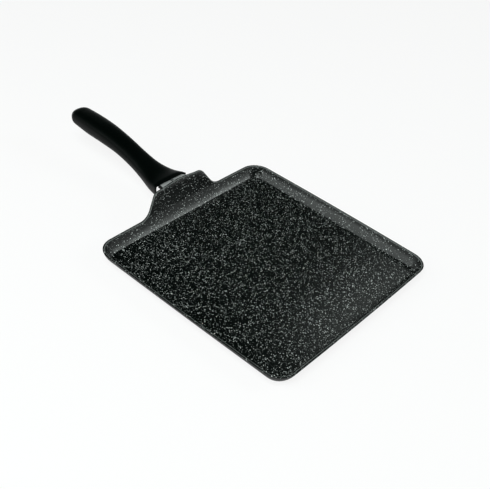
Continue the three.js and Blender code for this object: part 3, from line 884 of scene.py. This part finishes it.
def turnDownSides():  # the strip's sides are turned down from the bend into the grip's mouth
    stops = ((kneeReach, bracket["flangeHalf"]), (mouthRun, mouthHalf), (lipRun, tongueHalf(lipRun)))
    lips = []
    for (low, lowHalf), (high, highHalf) in zip(stops, stops[1:]):
        side = tongueBack * (high - low) + Vector((0, highHalf - lowHalf, 0))
        inward = tongueUp.cross(side).normalized()
        line = knee + tongueBack * low + Vector((0, lowHalf, 0)) + inward * bracket["lipWidth"]
        lips.append((low, high, line, inward))

    def under(face, low, high):
        return (face.normal.dot(tongueUp) < -mostly and low < runOf(face) < high
                and abs(face.calc_center_median().y) > ribTop)

    def inLip(face):
        spot = face.calc_center_median()
        spot.y = abs(spot.y)
        return any(under(face, low, high) and (spot - line).dot(inward) < 0
                   for low, high, line, inward in lips)

    def looksAside(face):
        spot = face.calc_center_median()
        return (abs(spot.y) > ribTop and face.normal.y * spot.y > mostly * abs(spot.y)
                and kneeReach < runOf(face) < lipRun)

    pick("FACE", lambda f: under(f, mouthRun, ribEnd))
    cutAt(knee + tongueBack * lipRun, tongueBack)
    for low, high, line, inward in lips:
        for side in (Vector((1, 1, 1)), Vector((1, -1, 1))):
            pick("FACE", lambda f: under(f, low, high) and f.calc_center_median().y * side.y > 0)
            cutAt(line * side, inward * side)
    pick("FACE", inLip)
    extrudeFace(tongueUp * -bracket["lipDrop"])
    # the turned-down sides' outer faces get the painted shade
    pick("FACE", looksAside)
    bpy.ops.object.material_slot_assign()


def drill(piece, radius, direction, place):
    depth = 2 * bracket["thickness"]
    hole = turn("hole", [(radius + fit, -depth), (radius + fit, depth)])
    stand(hole, direction, place)
    combine(piece, hole, "DIFFERENCE")


def makeBracket():
    piece = drawStrip()
    rib = ribStops()
    for spot, up, depth in rib:
        pickAcross(bracket["ribHalf"], spot, near)
        move(up * -depth)
    outward()
    for name in ("stampedSteel", "paintedShadeSteel"):
        piece.data.materials.append(metalFinish[name])
    # the cut edges get the painted shade
    modify(piece, "SOLIDIFY", thickness=bracket["thickness"], offset=0, use_even_offset=True,
           material_offset_rim=shadeSkin)
    editAgain(piece)
    for spot, up, depth in rib:  # a bead stands back up along the rib's floor
        pickAcross(bracket["beadHalf"], spot + up * (bracket["thickness"] / 2 - depth), slack)
        move(up * depth)
    # the rib's steep sides get the painted shade
    pick("FACE", lambda f: abs(f.normal.y) > bracket["ribSteep"] and abs(f.calc_center_median().y) < ribTop
         and (f.calc_center_median() - knee).dot(tongueUp) > -bracket["ribDark"])
    piece.active_material_index = shadeSkin
    bpy.ops.object.material_slot_assign()
    turnDownSides()
    leaveEdit()
    drill(piece, screw["radius"], tongueUp, screwPlace)
    for side in (-1, 1):
        drill(piece, stud["radius"], tabOutward, studPlace(side))
    modify(piece, "BEVEL", width=bracket["edge"], segments=bracket["edgeSteps"], limit_method="ANGLE",
           angle_limit=bracket["edgeAngle"])
    return piece


bracketPiece = makeBracket()
finish(bracketPiece, "handle_bracket")
print("bracket", len(bracketPiece.data.polygons))


# studs with their washers and nuts, then the grip's screw and washer

nut = dict(
    flats=8 * mm, height=4 * mm, chamfer=0.5 * mm, boreOver=0.1 * mm,
    coneOver=0.2 * mm, coneFlat=0.97, coneSlope=radians(30), coneSides=64,
    washerRadius=4.4 * mm, washerThickness=1.2 * mm, washerSoft=0.18 * mm, washerSoftSteps=2,
    washerSteps=40, split=radians(16),
)
washerFoot = bracket["thickness"] + fit  # up a stud from the bracket's face on the tab
nutFoot = washerFoot + nut["washerThickness"] + fit
washerTop = -bracket["thickness"] / 2 - fit  # down the screw from the tongue's middle
washerLow = washerTop - screw["washerThickness"]


def threaded(shank, low, high):  # crest and root in turn up a shank
    steps = int((high - low) / (shank["pitch"] / 2))
    return [(shank["radius" if k % 2 else "root"], low + (high - low) * k / steps) for k in range(steps + 1)]


def makeStud():
    top = nutFoot + nut["height"] + stud["end"]
    profile = [(stud["radius"], 0), (stud["radius"], washerFoot - stud["neck"])]
    profile += threaded(stud, washerFoot, top - stud["taper"]) + [(stud["tip"], top)]
    return turn("weldStud", profile, stud["sides"])


def makeWasher():  # a split spring washer, drawn flat
    fresh()
    inner, outer, thick = stud["radius"] + fit, nut["washerRadius"], nut["washerThickness"]
    bpy.ops.mesh.primitive_plane_add(size=1, rotation=(pi / 2, 0, 0))
    bpy.context.object.scale = (outer - inner, thick, 1)
    piece = shapeUp("splitRing")
    roundCorners(nut["washerSoft"], nut["washerSoftSteps"])
    pickAll("FACE")
    move(((outer + inner) / 2, 0, thick / 2))
    bpy.ops.transform.rotate(value=nut["split"] / 2, orient_axis="Z", center_override=(0, 0, 0))
    bpy.ops.mesh.spin(steps=nut["washerSteps"], angle=2 * pi - nut["split"], center=(0, 0, 0), axis=(0, 0, 1))
    outward()
    leaveEdit()
    return piece


def makeNut():
    height, flat = nut["height"], nut["flats"] / 2
    corner = flat / cos(pi / 6)
    fresh()
    bpy.ops.mesh.primitive_cylinder_add(vertices=6, radius=corner, depth=height, location=(0, 0, height / 2),
                                        rotation=(0, 0, pi / 6))
    piece = shapeUp("hexNut")
    leaveEdit()
    wide, narrow = corner + nut["coneOver"], flat * nut["coneFlat"]
    slope = (wide - flat) * tan(nut["coneSlope"])
    profile = [(narrow, 0), (wide, slope), (wide, height - slope), (narrow, height)]
    combine(piece, turn("nutCone", profile, nut["coneSides"]), "INTERSECT")
    bore, chamfer, over = stud["radius"] + fit, nut["chamfer"], nut["boreOver"]
    profile = [(bore + chamfer, -over), (bore, chamfer), (bore, height - chamfer),
               (bore + chamfer, height + over)]
    combine(piece, turn("nutBore", profile), "DIFFERENCE")
    return piece


def makeScrew():
    headTop = washerLow - fit
    headFoot = headTop - screw["headHeight"]
    tip = bracket["thickness"] / 2 + screw["insertLength"] - screw["insertRoof"]
    radius = screw["headRadius"]
    profile = [(radius * screw["headFlat"], headFoot)]
    profile += [(radius * sin(a), headFoot + screw["dome"] * (1 - cos(a))) for a in screw["domeTurns"]]
    profile += [(radius, headFoot + screw["headSide"]), (radius, headTop), (screw["radius"], headTop)]
    profile += threaded(screw, headTop + screw["neck"], tip - screw["taper"]) + [(screw["tip"], tip)]
    piece = turn("gripScrew", profile, screw["sides"])
    for turnBy in (0, pi / 2):
        fresh()
        bpy.ops.mesh.primitive_cube_add(size=1, location=(0, 0, headFoot), rotation=(0, 0, turnBy))
        bpy.context.object.scale = (2 * screw["recessReach"], screw["recessWidth"], 2 * screw["recessDepth"])
        cutter = shapeUp("recess")
        pick("FACE", lambda f: f.normal.z > mostly)  # the slot narrows towards its floor
        stretch(*screw["recessTaper"], 1, (0, 0, headFoot + screw["recessDepth"]))
        leaveEdit()
        combine(piece, cutter, "DIFFERENCE")
    return piece


def makeGripWasher():
    soft, outer, bore = screw["washerSoft"], screw["washerRadius"], screw["radius"] + fit
    profile = [(outer - soft, washerLow), (outer, washerLow + soft)]
    profile += [(outer, washerTop - soft), (outer - soft, washerTop)]
    profile += [(bore + soft, washerTop), (bore, washerTop - soft)]
    profile += [(bore, washerLow + soft), (bore + soft, washerLow)]
    return turn("gripWasher", profile, screw["washerSides"], hollow=True)


plated = metalFinish["zincPlate"]
models = (
    # made once, then the name, node, height up the stud, slot and finish of its copies
    (makeStud(), "tabStud", "tab_stud", 0, "stud_aluminium", metalFinish["bareAluminium"]),
    (makeWasher(), "springWasher", "stud_washer", washerFoot, "fastener_steel", plated),
    (makeNut(), "studNut", "stud_nut", nutFoot, "fastener_steel", plated),
)
for word, side in (("Left", -1), ("Right", 1)):
    for model, name, node, foot, slot, material in models:
        twin = copyOf(model, name + word)
        stand(twin, tabOutward, studPlace(side) + tabOutward * foot)
        finish(twin, f"{node}_{word.lower()}", material)
for model, *_ in models:
    bpy.data.objects.remove(model)

for piece, node in ((makeScrew(), "grip_screw"), (makeGripWasher(), "grip_washer")):
    stand(piece, tongueUp, screwPlace)
    finish(piece, node, plated)

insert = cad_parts["thread_insert"]
insert.data.materials.clear()
insert.data.materials.append(metalFinish["turnedBrass"])
print("fasteners placed")


# floor, light and camera

room = dict(
    floorSize=80, floorDrop=0.3 * mm, floorTone=(0.9, 0.9, 0.9, 1), floorGlow=0.85,
    bright=(0.77, 0.82, 0.805, 1), dark=(0.012, 0.013, 0.0125, 1),
    ceiling=(0.4, 0.72),  # how high the light fades to dark overhead
    screenWay=(-0.62, 0.78, 0), screenFar=(0.15, 0.5), screenNear=(0.55, 0.8), screenFoot=(0.18, 0.36),
)
lamps = (
    # name, place, aimed at, width, length, watts
    ("overheadSoftbox", (0.3, -0.9, 1.6), (0, 0, 0), 0.9, 0.9, 26),
    ("leftSoftbox", (-0.68, -1.08, 1.05), (0, 0.05, 0), 0.85, 1.0, 5.2),
    ("rightSoftbox", (1.03, 1.12, 0.955), (-0.05, 0, 0), 0.58, 0.56, 6.0),
    ("backSoftbox", (-0.3, 1.07, 1.0), (-0.3, 1.07, 0), 0.3, 0.57, 0.52),
)
lampTint = (0.92, 1.0, 0.97)
view = dict(  # fitted to the outlines of the tray and the grip in the photograph
    azimuth=radians(36.87829), elevation=radians(38.73983), roll=radians(7.82313), distance=973.073 * mm,
    aim=(-39.6998 * mm, 9.1801 * mm, 2.5 * mm), focalPixels=814.776, imageWidth=490, sensorWidth=36,
)


def makeFloor():
    fresh()
    bpy.ops.mesh.primitive_plane_add(size=room["floorSize"], location=(0, 0, -room["floorDrop"]))
    floor = bpy.context.object
    floor.name = "paleFloor"
    material, wire = newFinish("paleFloor")
    path = wire.add("ShaderNodeLightPath", {}, {}, "Is Camera Ray")
    seen = (path + path.out("Is Glossy Ray") + path.out("Is Transmission Ray")).clamped()
    matt = wire.add("ShaderNodeBsdfDiffuse", {}, {"Color": room["floorTone"]})
    glow = wire.add("ShaderNodeEmission", {}, {})
    mixed = wire.add("ShaderNodeMixShader", {}, {0: seen * room["floorGlow"], 1: matt, 2: glow})
    wire.add("ShaderNodeOutputMaterial", {}, {"Surface": mixed})
    floor.data.materials.append(material)


def makeWorld():  # pale all round, with a dark ceiling and dark screens beyond the pan and opposite
    world = bpy.data.worlds.new("paleRoom")
    scene.world = world
    world.use_nodes = True
    world.node_tree.nodes.clear()
    wire = Wire(world.node_tree)
    direction = wire.add("ShaderNodeTexCoord", {}, {}, "Generated")
    up = wire.add("ShaderNodeSeparateXYZ", {}, {"Vector": direction}, "Z")
    ahead = wire.add("ShaderNodeVectorMath", {"operation": "DOT_PRODUCT"},
                     {0: direction, 1: room["screenWay"]}, "Value")
    screens = ahead.eased(*room["screenFar"]) + (ahead * -1.0).eased(*room["screenNear"])
    shade = (up.eased(*room["ceiling"]) + screens * up.eased(*room["screenFoot"])).clamped()
    tone = blend(wire, shade, room["bright"], room["dark"])
    wire.add("ShaderNodeOutputWorld", {}, {"Surface": wire.add("ShaderNodeBackground", {}, {"Color": tone})})


def makeLamps():
    for name, place, target, width, length, watts in lamps:
        lamp = bpy.data.lights.new(name, "AREA")
        lamp.shape = "RECTANGLE"
        lamp.size, lamp.size_y = width, length
        lamp.energy = watts
        lamp.color = lampTint
        holder = bpy.data.objects.new(name, lamp)
        scene.collection.objects.link(holder)
        holder.location = place
        holder.rotation_euler = (Vector(target) - Vector(place)).to_track_quat("-Z", "Y").to_euler()


def makeCamera():
    a, e, roll = view["azimuth"], view["elevation"], view["roll"]
    back = Vector((sin(a) * cos(e), -cos(a) * cos(e), sin(e)))
    level = Vector((0, 0, 1)).cross(back).normalized()
    upright = back.cross(level)
    right = level * cos(roll) + upright * sin(roll)
    up = upright * cos(roll) - level * sin(roll)
    eye = Vector(view["aim"]) + back * view["distance"]
    lens = bpy.data.cameras.new("photoCamera")
    lens.sensor_fit = "HORIZONTAL"
    lens.sensor_width = view["sensorWidth"]
    lens.lens = view["focalPixels"] * view["sensorWidth"] / view["imageWidth"]
    camera = bpy.data.objects.new("photoCamera", lens)
    scene.collection.objects.link(camera)
    camera.matrix_world = Matrix.Translation(eye) @ Matrix((right, up, back)).transposed().to_4x4()
    scene.camera = camera


makeFloor()
makeWorld()
makeLamps()
makeCamera()
scene.view_settings.view_transform = "Standard"
print("floor, light and camera set")
